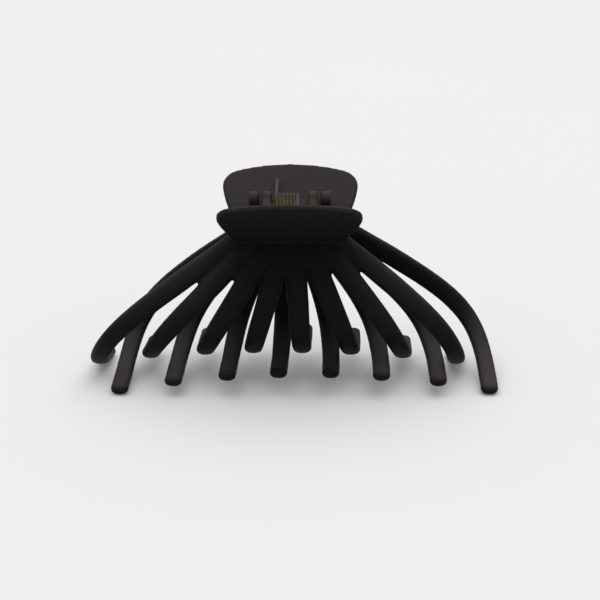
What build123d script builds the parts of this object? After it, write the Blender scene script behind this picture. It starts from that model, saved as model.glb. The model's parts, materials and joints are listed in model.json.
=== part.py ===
from build123d import *
import os
from math import copysign, cos, dist, pi, sin, sqrt

# A large spring-loaded "octopus" hair claw clip, closed, standing on the tips of its teeth.
# The hinge pin lies along X, the rear jaw is on the +Y side and the front jaw on the -Y side.
# The origin is on the floor under the middle of the teeth, and sizes are millimetres.

os.makedirs("parts", exist_ok=True)

# ---------------------------------------------------------------- hinge
hinge_height = 46.6
# The hinge and the paddles sit a little to the left of the middle of the teeth.
hinge_shift = -0.5
pin_diameter = 1.8
pin_running_clearance = 0.05
lug_radius = 3.2
outer_lug_span = (7.9, 10.65)
inner_knuckle_span = (4.65, 7.2)
# Where an arm meets the paddle, as (outward, height above the hinge).
arm_top = (12.4, -2.6)
arm_bottom = (6.5, -8.0)
pin_end_inset = 0.1

# ---------------------------------------------------------------- spring
wire_diameter = 0.8
coil_radius = 2.4
coil_pitch = 0.92
coil_turns = 6
coil_start_x = -3.5
leg_clearance = 0.04
leg_distance_up = 16.2

# ---------------------------------------------------------------- thumb paddle
# The paddle's middle plane, seen from the side, as (outward, height above the hinge).
paddle_root = (5.6, -8.2)
paddle_tip = (24.5, 4.75)
paddle_thickness = 2.0
paddle_outer_edge_radius = 0.5
paddle_inner_edge_radius = 0.35
paddle_half_width = 18.45
paddle_root_half_width = 13.2
paddle_side_half_width = 17.0
paddle_top_sagitta = 3.9
paddle_corner_radius = 5.6
# The rear paddle's slots, as (sideways, distance up) of the middle and (width, height).
wide_slot_place = (11.9, 7.7)
wide_slot_size = (1.9, 1.0)
narrow_slot_place = (-11.5, 8.2)
narrow_slot_size = (0.5, 1.7)

# ---------------------------------------------------------------- teeth
teeth_per_jaw = 8
tooth_width_root = 4.2
tooth_width_top = 5.5
tooth_width_low = 4.55
tooth_thickness_top = 3.3
tooth_thickness_low = 2.9
# Side view of the outermost tooth: control points of one smooth curve, (outward, height).
tooth_side_curve = [(4.1, 41.6), (12.8, 25.9), (12.9, 19.3), (16.5, 13.6), (10.1, 3.2), (-17.0, 1.5)]
# The middle teeth are shallower, and their hooked ends reach further and higher.
middle_lift = 0.03
middle_tip_reach = 3.2
middle_tip_rise = 4.6
# Front view: each tooth's four control points spread with its place n in the fan, -3.5 to +3.5,
# as spread * n + shift + curl * n ** 3.
fan_spread = (2.39, 8.76, 13.62, 13.19)
fan_shift = (-0.95, -2.16, -4.81, -3.19)
fan_curl = (0.017, 0.292, 0.005, 0.025)
# Each tooth's lower half leans sideways by a little of its own, from n = -3.5 to n = +3.5.
fan_lean = (0, -0.6, 0.4, 0, 0, -0.25, 0, 0)
tooth_stations = 15
tip_round_length = 1.9
tip_round_steps = (0.35, 0.6, 0.8, 0.92, 0.98)

# ---------------------------------------------------------------- palm
palm_half_width = 9.0
palm_thickness = 2.6
palm_length = 0.14


def bezier(controls, t):
    """Point of the Bezier curve with any number of controls, which are numbers."""
    while len(controls) > 1:
        controls = [a + (b - a) * t for a, b in zip(controls, controls[1:])]
    return controls[0]


def tooth_point(n, t):
    """Middle line of the front jaw's tooth n, at t from 0 (root) to 1 (tip)."""
    lateral = [a * n + b + c * n ** 3 for a, b, c in zip(fan_spread, fan_shift, fan_curl)]
    lean = fan_lean[round(n + 3.5)]
    lateral[2] += lean
    lateral[3] += lean
    middleness = 1 - (n / 3.5) ** 2
    outward = [point[0] for point in tooth_side_curve]
    outward[-1] -= middle_tip_reach * middleness
    root_height = tooth_side_curve[0][1]
    height = [root_height + (point[1] - root_height) * (1 - middle_lift * middleness) for point in tooth_side_curve]
    height[-1] += middle_tip_rise * middleness
    return Vector(bezier(lateral, t), -bezier(outward, t), bezier(height, t))


def tooth_plane(n, t):
    """Plane across tooth n, its X along the tooth's width and its Y out of the jaw."""
    step = 0.002
    tangent = (tooth_point(n, t + step) - tooth_point(n, t - step)).normalized()
    outward = Vector(0, tangent.Z, -tangent.Y).normalized()
    return Plane(origin=tooth_point(n, t), x_dir=outward.cross(tangent), z_dir=tangent)


def tooth_section(plane, width, thickness, seam_side):
    """Rounded section, fuller on the outer face and flatter on the face towards the hair."""
    points = []
    for k in range(16):
        angle = 2 * pi * (k + 0.5) / 16
        flatness = 0.86 if sin(angle) > 0 else 0.66
        x = copysign(abs(cos(angle)) ** 0.8, cos(angle)) * seam_side * width / 2
        y = copysign(abs(sin(angle)) ** flatness, sin(angle)) * thickness / 2
        points.append((x, y))
    return plane * make_face(Spline(*points, periodic=True))


def arc_stations(n, count):
    """Parameters that cut tooth n's middle line into equal lengths, with the length left in mm."""
    fine = 200
    reached = [0.0]
    for k in range(fine):
        step = (tooth_point(n, (k + 1) / fine) - tooth_point(n, k / fine)).length
        reached.append(reached[-1] + step)
    goal = reached[-1] - tip_round_length
    stations = []
    for k in range(count):
        wanted = goal * k / (count - 1)
        cell = next(i for i in range(fine) if reached[i + 1] >= wanted)
        part = (wanted - reached[cell]) / (reached[cell + 1] - reached[cell])
        stations.append((cell + part) / fine)
    return stations


def tooth(n):
    """One curved tooth: a smooth blade from the root down, and a rounded tip."""
    stations = arc_stations(n, tooth_stations)
    seam_side = copysign(1, n)
    blade = []
    for k, t in enumerate(stations):
        reached = k / (tooth_stations - 1)
        flare = min(1.0, reached / 0.25)
        taper = min(1.0, max(0.0, (reached - 0.25) / 0.55))
        width = tooth_width_root + (tooth_width_top - tooth_width_root) * flare
        width += (tooth_width_low - tooth_width_top) * taper
        thickness = tooth_thickness_top + (tooth_thickness_low - tooth_thickness_top) * taper
        blade.append(tooth_section(tooth_plane(n, t), width, thickness, seam_side))
    tip = [blade[-1]]
    for reach in tip_round_steps:
        t = stations[-1] + (1 - stations[-1]) * reach
        shrink = sqrt(1 - reach ** 2)
        flat = (tooth_width_low - tooth_thickness_low) * (0.6 + 0.4 * shrink)
        thickness = tooth_thickness_low * shrink
        tip.append(tooth_section(tooth_plane(n, t), thickness + flat, thickness, seam_side))
    return loft(blade) + loft(tip, ruled=True)


def side_prism(points, x_from, x_to):
    """Solid between two X planes with a side view given as (outward, height above the hinge)."""
    outline = [(-outward, hinge_height + height) for outward, height in points]
    face = Plane.YZ * make_face(Polyline(*outline, close=True))
    return Pos(x_from, 0, 0) * extrude(face, x_to - x_from, dir=(1, 0, 0))


def paddle_plane():
    """Plane of the front paddle's inner face, its Y up the paddle and its Z towards the hinge."""
    up = Vector(0, -(paddle_tip[0] - paddle_root[0]), paddle_tip[1] - paddle_root[1]).normalized()
    middle = Vector(0, -paddle_root[0], hinge_height + paddle_root[1])
    inward = up.cross(Vector(1, 0, 0))
    return Plane(origin=middle + inward * (paddle_thickness / 2), x_dir=(-1, 0, 0), z_dir=inward)


def rim_edges(plate, level):
    """Edges of the paddle's outline at the given level, without its straight root."""
    edges = [edge for edge in plate.edges() if abs(edge.center().Z - level) < 0.01]
    return [edge for edge in edges if edge.center().Y > 1]


def paddle():
    """Thumb paddle: a plate with an arched top edge, rounded corners and softened edges."""
    length = dist(paddle_root, paddle_tip)
    corner_up = length - paddle_top_sagitta
    half = paddle_half_width
    side_up = length * 0.42
    top = ThreePointArc((-half, corner_up), (0, length), (half, corner_up))
    right = ThreePointArc((half, corner_up), (paddle_side_half_width, side_up), (paddle_root_half_width, 0))
    bottom = Line((paddle_root_half_width, 0), (-paddle_root_half_width, 0))
    left = ThreePointArc((-paddle_root_half_width, 0), (-paddle_side_half_width, side_up), (-half, corner_up))
    outline = make_face([top, right, bottom, left])
    corners = outline.vertices().sort_by(Axis.Y)[-2:]
    outline = fillet(corners, paddle_corner_radius)
    plate = extrude(outline, -paddle_thickness)
    plate = fillet(rim_edges(plate, -paddle_thickness), paddle_outer_edge_radius)
    plate = fillet(rim_edges(plate, 0), paddle_inner_edge_radius)
    return paddle_plane() * plate


def palm():
    """Curved plate between the tooth roots, which joins them to the paddle."""
    outer_line = []
    inner_line = []
    for k in range(7):
        t = palm_length * k / 6
        plane = tooth_plane(0, t)
        outward = Vector(0, plane.y_dir.Y, plane.y_dir.Z).normalized() * (palm_thickness / 2)
        for line, sign in ((outer_line, 1), (inner_line, -1)):
            point = tooth_point(0, t) + outward * sign
            line.append((-point.Y, point.Z - hinge_height))
    return side_prism(outer_line + inner_line[::-1], -palm_half_width, palm_half_width)


def hinge_arm(x_from, x_to):
    """Hinge eye round the pin, with the arm that joins it to the paddle and the palm."""
    eye = Plane.YZ * Pos(0, hinge_height) * Circle(lug_radius)
    eye = Pos(x_from, 0, 0) * extrude(eye, x_to - x_from, dir=(1, 0, 0))
    arm = side_prism([(0, lug_radius), arm_top, arm_bottom, (2.6, -6.6), (-1.2, -2.96)], x_from, x_to)
    return eye + arm


def pin_rod(diameter, half_length):
    """Round bar along the hinge axis."""
    return Pos(0, 0, hinge_height) * Rot(0, 90, 0) * Cylinder(diameter / 2, 2 * half_length)


def one_jaw(eye_span, hole_diameter, shift):
    """One jaw, here on the front side: its paddle and its two hinge eyes are moved along X by shift."""
    jaw = palm() + Pos(shift, 0, 0) * paddle()
    for k in range(teeth_per_jaw):
        jaw += tooth(k - (teeth_per_jaw - 1) / 2)
    for sign in (-1, 1):
        low, high = sorted(sign * x for x in eye_span)
        jaw += Pos(shift, 0, 0) * hinge_arm(low, high)
    return jaw - pin_rod(hole_diameter, 20)


def front_jaw():
    """Front jaw: its two inner knuckles turn on the pin."""
    return one_jaw(inner_knuckle_span, pin_diameter + 2 * pin_running_clearance, hinge_shift)


def rear_jaw():
    """Rear jaw: the same fan turned about, with outer lugs and two small slots beside them."""
    jaw = one_jaw(outer_lug_span, pin_diameter, -hinge_shift)
    for place, size in ((wide_slot_place, wide_slot_size), (narrow_slot_place, narrow_slot_size)):
        slot = paddle_plane() * Pos(*place) * Box(*size, 3 * paddle_thickness)
        jaw -= Pos(-hinge_shift, 0, 0) * slot
    return Rot(0, 0, 180) * jaw


def hinge_pin():
    """Metal pin, pressed into the outer lugs, with slightly rounded ends."""
    pin = Pos(hinge_shift, 0, 0) * pin_rod(pin_diameter, outer_lug_span[1] - pin_end_inset)
    return chamfer(pin.edges().filter_by(GeomType.CIRCLE), 0.15)


def straight_wire(start, end):
    """A straight length of spring wire with a round end, from start to end."""
    run = end - start
    plane = Plane(origin=start, z_dir=run)
    rod = extrude(plane * Circle(wire_diameter / 2), run.length)
    return rod + Pos(*start) * Sphere(wire_diameter / 2) + Pos(*end) * Sphere(wire_diameter / 2)


def torsion_spring():
    """Wound spring: a coil round the pin, one leg on the rear paddle and one on the front paddle."""
    coil_length = coil_turns * coil_pitch
    first_x = hinge_shift + coil_start_x
    coil_plane = Plane(origin=(first_x, 0, hinge_height), x_dir=(0, 0, 1), z_dir=(1, 0, 0))
    path = coil_plane * Helix(coil_pitch, coil_length, coil_radius)
    profile = Plane(origin=path @ 0, z_dir=path % 0) * Circle(wire_diameter / 2)
    spring = sweep(profile, path=path, is_frenet=True)
    inner_face = paddle_plane()
    leg_height = wire_diameter / 2 + leg_clearance
    rest = inner_face.origin + inner_face.y_dir * leg_distance_up + inner_face.z_dir * leg_height
    for sign, x in ((1, first_x), (-1, first_x + coil_length)):
        start = Vector(x, 0, hinge_height + coil_radius)
        end = Vector(x, -sign * rest.Y, rest.Z)
        spring += straight_wire(start, end)
    return spring


nodes = {
    "rear_jaw": rear_jaw(),
    "front_jaw": front_jaw(),
    "hinge_pin": hinge_pin(),
    "torsion_spring": torsion_spring(),
}
floor = nodes["front_jaw"].bounding_box().min.Z
for name, shape in nodes.items():
    solid = (Pos(0, 0, -floor) * shape).solids()
    print(name, "solids", len(solid), "volume", round(sum(s.volume for s in solid), 1))
    export_step(Pos(0, 0, -floor) * shape, f"parts/{name}.step")
print("hinge height above the floor", round(hinge_height - floor, 3))
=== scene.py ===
# %% [markdown]
# A large claw clip for hair, in matt black plastic, standing closed on the tips of its teeth.
# Two jaws turn on a brass pin, and a wound spring round the pin keeps them shut. The sizes and the
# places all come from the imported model, which is loaded first and never moved.

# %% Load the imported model
import json
import math

import bmesh
import bpy
from mathutils import Matrix, Vector


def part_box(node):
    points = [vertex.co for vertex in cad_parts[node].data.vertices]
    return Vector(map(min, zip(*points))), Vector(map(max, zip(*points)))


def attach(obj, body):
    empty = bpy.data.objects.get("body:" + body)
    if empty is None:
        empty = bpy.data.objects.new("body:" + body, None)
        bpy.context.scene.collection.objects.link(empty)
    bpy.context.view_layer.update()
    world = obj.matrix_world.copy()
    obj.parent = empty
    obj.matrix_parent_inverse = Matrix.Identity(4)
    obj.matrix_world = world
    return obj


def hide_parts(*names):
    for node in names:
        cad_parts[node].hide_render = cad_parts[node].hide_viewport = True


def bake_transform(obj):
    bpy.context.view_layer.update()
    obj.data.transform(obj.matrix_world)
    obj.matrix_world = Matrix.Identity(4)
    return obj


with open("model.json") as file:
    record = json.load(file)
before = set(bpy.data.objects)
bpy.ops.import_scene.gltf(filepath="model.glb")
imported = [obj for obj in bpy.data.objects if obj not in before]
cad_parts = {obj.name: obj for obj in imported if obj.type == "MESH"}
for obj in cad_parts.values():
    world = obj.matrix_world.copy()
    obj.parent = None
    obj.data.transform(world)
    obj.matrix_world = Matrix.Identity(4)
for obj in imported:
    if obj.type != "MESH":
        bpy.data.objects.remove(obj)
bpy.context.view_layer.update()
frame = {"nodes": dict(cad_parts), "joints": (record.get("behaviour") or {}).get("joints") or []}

hinge = Vector(frame["joints"][0]["pos_m"])
print("hinge height in mm", round(1000 * hinge.z, 2))


# %% [markdown]
# Shader maths reads best as ordinary Python. A socket is wrapped in a small class whose operators
# add the Math nodes, and every other node comes from one method of the finish that is being made.

# %% A socket that can be added, subtracted and multiplied
class Signal:
    """One output socket of a material, with the arithmetic the finishes need."""

    def __init__(self, tree, socket):
        self.tree = tree
        self.socket = socket

    def combine(self, operation, first, second):
        node = self.tree.nodes.new("ShaderNodeMath")
        node.operation = operation
        for slot, item in zip(node.inputs, (first, second)):
            if isinstance(item, Signal):
                self.tree.links.new(item.socket, slot)
            else:
                slot.default_value = item
        return Signal(self.tree, node.outputs[0])

    def __add__(self, other):
        return self.combine("ADD", self, other)

    def __radd__(self, other):
        return self.combine("ADD", other, self)

    def __sub__(self, other):
        return self.combine("SUBTRACT", self, other)

    def __rsub__(self, other):
        return self.combine("SUBTRACT", other, self)

    def __mul__(self, other):
        return self.combine("MULTIPLY", self, other)

    def __rmul__(self, other):
        return self.combine("MULTIPLY", other, self)


# %% [markdown]
# A finish holds one material. Its noise gives unevenness, its blend mixes two colours and its bump
# tilts the light a little, and all of them read the object's own coordinates.

# %% A finish: one material and the nodes it is made of
class Finish:
    """A node material whose surface is one Principled shader."""

    def __init__(self, name):
        self.material = bpy.data.materials.new(name)
        self.material.use_nodes = True
        self.tree = self.material.node_tree
        self.surface = self.tree.nodes["Principled BSDF"]
        self.place = self.node("ShaderNodeTexCoord", {}, "Object")

    def fill(self, socket, item):
        if isinstance(item, Signal):
            self.tree.links.new(item.socket, socket)
        else:
            socket.default_value = item

    def node(self, kind, settings, output, **sockets):
        """Any node: its type, its settings, the output wanted and what goes into its sockets."""
        node = self.tree.nodes.new(kind)
        for name, value in settings.items():
            if name == "stops":
                for element, (position, colour) in zip(node.color_ramp.elements, value):
                    element.position = position
                    element.color = colour
            else:
                setattr(node, name, value)
        for name, item in sockets.items():
            self.fill(node.inputs[name.replace("_", " ")], item)
        return Signal(self.tree, node.outputs[output])

    def noise(self, size, detail=2.0, roughness=0.5):
        """Noise whose blots are about size metres across."""
        return self.node(
            "ShaderNodeTexNoise", {}, "Fac",
            Vector=self.place, Scale=1 / size, Detail=detail, Roughness=roughness,
        )

    def blend(self, amount, dark, light):
        """A colour between dark and light."""
        return self.node(
            "ShaderNodeValToRGB", {"stops": [(0.0, (*dark, 1)), (1.0, (*light, 1))]}, "Color",
            Fac=amount,
        )

    def bump(self, height, strength, distance):
        return self.node(
            "ShaderNodeBump", {}, "Normal", Height=height, Strength=strength, Distance=distance,
        )

    def set(self, **sockets):
        for name, item in sockets.items():
            self.fill(self.surface.inputs[name.replace("_", " ")], item)


# %% [markdown]
# The jaws are moulded in a soft-touch black that is matt but not dead: it keeps a broad, faint
# gloss. A painted highlight makes the black paler and a little warmer on faces that look up, and
# painted shade keeps the middle teeth, which hang under the paddles, plain black. This painted light
# is a deliberate choice, and stands in for the strong contrast of studio light from overhead. A real
# surface is never even, so fine grain goes into the bump, and blots vary the gloss and the painted
# highlight.

# %% Soft-touch black for the jaws
# Painted shade on the middle teeth under the paddles: full near the middle and low down, gone by the
# outer widths and heights.
painted_shade_half_width = 0.006
painted_shade_end_half_width = 0.024
painted_shade_below_hinge = 0.006
painted_shade_end_below_hinge = 0.002


def soft_black():
    finish = Finish("soft_touch_black")
    grain = finish.noise(0.00022, detail=3.0)
    wipe = finish.noise(0.009, detail=3.0, roughness=0.6)
    highlight_mottle = finish.noise(0.0006, detail=4.0, roughness=0.7)
    facing = finish.node("ShaderNodeNewGeometry", {}, "Normal")
    upward = finish.node("ShaderNodeSeparateXYZ", {}, "Z", Vector=facing) * 0.5 + 0.5
    upward_squared = upward * upward
    sideways = finish.node("ShaderNodeSeparateXYZ", {}, "X", Vector=finish.place)
    height = finish.node("ShaderNodeSeparateXYZ", {}, "Z", Vector=finish.place)
    beside = finish.node(
        "ShaderNodeMapRange", {}, "Result",
        Value=sideways * sideways,
        From_Min=painted_shade_half_width ** 2, From_Max=painted_shade_end_half_width ** 2, To_Min=0.0, To_Max=1.0,
    )
    above = finish.node(
        "ShaderNodeMapRange", {}, "Result",
        Value=height,
        From_Min=hinge.z - painted_shade_below_hinge, From_Max=hinge.z - painted_shade_end_below_hinge,
        To_Min=0.0, To_Max=1.0,
    )
    # Painted shade: the painted highlight is left off the middle teeth that hang under the paddles.
    outside_painted_shade = 1 - (1 - beside) * (1 - above)
    unevenness = 0.7 + wipe * 0.35 + highlight_mottle * 0.25
    # Painted highlight: faces that look up turn paler and warmer, varied in blots, outside the
    # painted shade.
    painted_highlight = upward_squared * upward_squared * outside_painted_shade * unevenness
    # The pale end of this blend is the painted highlight colour; the dark end is the black itself.
    finish.set(
        Base_Color=finish.blend(painted_highlight, (0.0008, 0.0007, 0.0006), (0.043, 0.038, 0.0345)),
        Roughness=0.56 + wipe * 0.1 + grain * 0.06,
        Normal=finish.bump(grain, 0.12, 0.00006),
    )
    finish.surface.inputs["Specular IOR Level"].default_value = 0.14
    finish.surface.inputs["Sheen Weight"].default_value = 0.02
    finish.surface.inputs["Sheen Roughness"].default_value = 0.45
    return finish.material


black = soft_black()
print("finish", black.name)


# %% [markdown]
# The pin and the spring are brass under a dark film. The film sits on whatever faces up, so bare
# brass shows low on each turn of the wire. The film is browner on the pin and greyer on the wire.

# %% Darkened brass for the pin and the spring
def brass(name, dark_share, film_colour):
    """Brass with a dark film over the given share of its surface, on the side that faces up."""
    finish = Finish(name)
    scratch = finish.noise(0.0004, detail=3.0)
    film = finish.noise(0.0011, detail=2.0)
    normal = finish.node("ShaderNodeNewGeometry", {}, "Normal")
    up = finish.node("ShaderNodeSeparateXYZ", {}, "Z", Vector=normal)
    cover = finish.node(
        "ShaderNodeMapRange", {}, "Result", Value=(up * 0.9 + film * 0.5) * dark_share,
    )
    finish.set(
        Base_Color=finish.blend(cover, (0.50, 0.32, 0.11), film_colour),
        Metallic=1 - cover,
        Roughness=0.28 + scratch * 0.12 + cover * 0.35,
        Normal=finish.bump(scratch, 0.1, 0.00003),
    )
    return finish.material


pin_brass = brass("pin_brass", 1.15, (0.014, 0.009, 0.004))
wire_brass = brass("darkened_wire", 1.2, (0.030, 0.027, 0.025))
print("finishes", pin_brass.name, wire_brass.name)


# %% [markdown]
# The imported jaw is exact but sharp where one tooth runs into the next. A real moulding is rounded
# there, because molten plastic and a milled steel cavity both hate a knife edge. The jaw is copied,
# rebuilt as an even skin of small squares, and relaxed a few times, which melts the creases into
# small fillets and leaves the long curves alone.

# %% A moulded copy of a jaw
skin_step = 0.00036
relax_rounds = 5


def moulded(node_name, body):
    """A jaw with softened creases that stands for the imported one."""
    bm = bmesh.new()
    bm.from_mesh(frame["nodes"][node_name].data)
    bmesh.ops.remove_doubles(bm, verts=bm.verts, dist=1e-6)
    mesh = bpy.data.meshes.new(node_name + "_skin")
    bm.to_mesh(mesh)
    bm.free()
    jaw = bpy.data.objects.new(node_name + "_moulding", mesh)
    bpy.context.scene.collection.objects.link(jaw)
    skin = jaw.modifiers.new("skin", "REMESH")
    skin.mode = "VOXEL"
    skin.voxel_size = skin_step
    ready = jaw.evaluated_get(bpy.context.evaluated_depsgraph_get())
    jaw.data = bpy.data.meshes.new_from_object(ready)
    jaw.modifiers.clear()
    bm = bmesh.new()
    bm.from_mesh(jaw.data)
    for _ in range(relax_rounds):
        bmesh.ops.smooth_vert(
            bm, verts=bm.verts, factor=0.5, use_axis_x=True, use_axis_y=True, use_axis_z=True,
        )
    for face in bm.faces:
        face.smooth = True
    bm.to_mesh(jaw.data)
    bm.free()
    jaw.data.materials.clear()
    jaw.data.materials.append(black)
    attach(jaw, body)
    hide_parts(node_name)
    print(jaw.name, "faces", len(jaw.data.polygons))
    return jaw


rear_moulding = moulded("rear_jaw", "rear_body")
front_moulding = moulded("front_jaw", "front_body")

# %% [markdown]
# The hinge pin is already the right shape, so it only needs its finish.

# %% The hinge pin
pin = frame["nodes"]["hinge_pin"]
pin.data.materials.clear()
pin.data.materials.append(pin_brass)
for face in pin.data.polygons:
    face.use_smooth = len(face.vertices) < 5 and abs(face.normal.x) < 0.5


# %% [markdown]
# A spring is a circle swept along a screw line, which is what the spin operator does when it is
# also given a step along its axis. The two legs are the end circles pulled out straight, one to
# each paddle, and their ends are rounded off as a cut wire is after tumbling.

# %% The torsion spring
spring_low, spring_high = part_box("torsion_spring")
wire_radius = 0.0004
coil_radius = hinge.z - spring_low.z - wire_radius
first_turn_x = spring_low.x + wire_radius
last_turn_x = spring_high.x - wire_radius
turns = 6
steps_per_turn = 36


def pull_leg(bm, ring, shift):
    """Pulls the ring of edges out straight by shift, and rounds off the end."""
    direction = shift.normalized()
    stretch = [shift] + [direction * wire_radius * k for k in (0.5, 0.3, 0.15)]
    squeeze = [1.0, 0.88, 0.66, 0.4]
    for move, scale in zip(stretch, squeeze):
        made = bmesh.ops.extrude_edge_only(bm, edges=ring)["geom"]
        ring = [item for item in made if isinstance(item, bmesh.types.BMEdge)]
        corners = list({corner for edge in ring for corner in edge.verts})
        bmesh.ops.translate(bm, verts=corners, vec=move)
        middle = sum((corner.co for corner in corners), Vector()) / len(corners)
        target = wire_radius * scale / (corners[0].co - middle).length
        bmesh.ops.scale(bm, verts=corners, vec=(target,) * 3, space=Matrix.Translation(-middle))
    bmesh.ops.holes_fill(bm, edges=ring, sides=0)


def wound_spring():
    bm = bmesh.new()
    upright = Matrix.Rotation(math.radians(90), 4, "X")
    start = Matrix.Translation((first_turn_x, 0, hinge.z + coil_radius))
    bmesh.ops.create_circle(bm, segments=16, radius=wire_radius, matrix=start @ upright)
    first = list(bm.edges)
    steps = turns * steps_per_turn
    advance = (last_turn_x - first_turn_x) / steps
    spun = bmesh.ops.spin(
        bm, geom=list(bm.verts) + first, cent=hinge, axis=(1, 0, 0), dvec=(advance, 0, 0),
        angle=2 * math.pi * turns, steps=steps, use_merge=False, use_duplicate=False,
    )
    last = [item for item in spun["geom_last"] if isinstance(item, bmesh.types.BMEdge)]
    leg_rise = spring_high.z - wire_radius - (hinge.z + coil_radius)
    reach = spring_high.y - wire_radius
    pull_leg(bm, first, Vector((0, reach, leg_rise)))
    pull_leg(bm, last, Vector((0, -reach, leg_rise)))
    bmesh.ops.remove_doubles(bm, verts=bm.verts, dist=1e-6)
    bmesh.ops.recalc_face_normals(bm, faces=bm.faces)
    for face in bm.faces:
        face.smooth = True
    mesh = bpy.data.meshes.new("spring_wire")
    bm.to_mesh(mesh)
    bm.free()
    mesh.materials.append(wire_brass)
    spring = bpy.data.objects.new("spring_wire", mesh)
    bpy.context.scene.collection.objects.link(spring)
    return spring


spring = wound_spring()
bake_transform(spring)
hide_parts("torsion_spring")
print("spring faces", len(spring.data.polygons))


# %% [markdown]
# The clip stands on a plain pale floor that runs back out of sight, so there is no horizon.

# %% The floor
def pale_floor():
    finish = Finish("pale_floor")
    patch = finish.noise(0.35, detail=2.0)
    finish.set(
        Base_Color=finish.blend(patch, (0.83, 0.825, 0.815), (0.85, 0.845, 0.835)),
        Roughness=0.75 + patch * 0.05,
    )
    finish.surface.inputs["Specular IOR Level"].default_value = 0.2
    finish.surface.inputs["Emission Color"].default_value = (1.0, 0.985, 0.975, 1)
    finish.surface.inputs["Emission Strength"].default_value = 0.09
    bm = bmesh.new()
    bmesh.ops.create_grid(bm, x_segments=8, y_segments=8, size=6.0)
    mesh = bpy.data.meshes.new("floor")
    bm.to_mesh(mesh)
    bm.free()
    mesh.materials.append(finish.material)
    floor = bpy.data.objects.new("floor", mesh)
    bpy.context.scene.collection.objects.link(floor)
    return floor


floor = pale_floor()
print("floor", floor.name)


# %% [markdown]
# The light is that of a light tent. One very large soft lamp hangs overhead and a little behind, and
# gathers the shadow under the clip.

# %% The lamp overhead
lamp_size = 4.0
lamp_power = 20


def soft_light(name, place, aim, size, power):
    lamp = bpy.data.lights.new(name, "AREA")
    lamp.shape = "SQUARE"
    lamp.size = size
    lamp.energy = power
    holder = bpy.data.objects.new(name, lamp)
    holder.location = place
    holder.rotation_euler = (Vector(aim) - Vector(place)).to_track_quat("-Z", "Y").to_euler()
    bpy.context.scene.collection.objects.link(holder)
    return holder


top_light = soft_light("top_light", (0, 0.5, 2.4), (0, 0.3, 0), lamp_size, lamp_power)
print("light", top_light.name)


# %% [markdown]
# The walls of the tent are the sky, which is dim near the floor and bright overhead. Faces that look
# forward stay dark, and everything that looks up is lifted.

# %% The sky
low_sky_strength = 0.3
high_sky_strength = 0.97
low_sky_height = 0.1
high_sky_height = 0.9
world = bpy.data.worlds.new("studio")
world.use_nodes = True
sky = world.node_tree.nodes["Background"]
direction = world.node_tree.nodes.new("ShaderNodeTexCoord")
height = world.node_tree.nodes.new("ShaderNodeSeparateXYZ")
glow = world.node_tree.nodes.new("ShaderNodeMapRange")
glow.inputs["From Min"].default_value = low_sky_height
glow.inputs["From Max"].default_value = high_sky_height
glow.inputs["To Min"].default_value = low_sky_strength
glow.inputs["To Max"].default_value = high_sky_strength
world.node_tree.links.new(direction.outputs["Generated"], height.inputs["Vector"])
world.node_tree.links.new(height.outputs["Z"], glow.inputs["Value"])
world.node_tree.links.new(glow.outputs["Result"], sky.inputs["Strength"])
sky.inputs["Color"].default_value = (1.0, 0.995, 0.99, 1)
bpy.context.scene.world = world
bpy.context.scene.view_settings.view_transform = "Standard"
print("sky", world.name)


# %% [markdown]
# The camera stands about 0.42 m off with a long lens, a little above the clip, and looks at it
# straight from the front.

# %% The camera
camera_tilt = math.radians(16.48)
camera_distance = 0.4232
camera_turn = math.radians(0.02)
look_at = Vector((0.00208, 0, 0.02058))
sensor_width = 36
lens_ratio = 2.7

camera_data = bpy.data.cameras.new("camera")
camera_data.sensor_width = sensor_width
camera_data.lens = sensor_width * lens_ratio
camera_data.clip_start = 0.02
camera_data.clip_end = 50
camera = bpy.data.objects.new("camera", camera_data)
turn = Matrix.Rotation(camera_turn, 4, "Z")
back = Vector((0, -math.cos(camera_tilt), math.sin(camera_tilt)))
camera.matrix_world = (
    turn
    @ Matrix.Translation(look_at + back * camera_distance)
    @ Matrix.Rotation(math.radians(90) - camera_tilt, 4, "X")
)
bpy.context.scene.collection.objects.link(camera)
bpy.context.scene.camera = camera
print("camera at", [round(x, 3) for x in camera.matrix_world.translation])
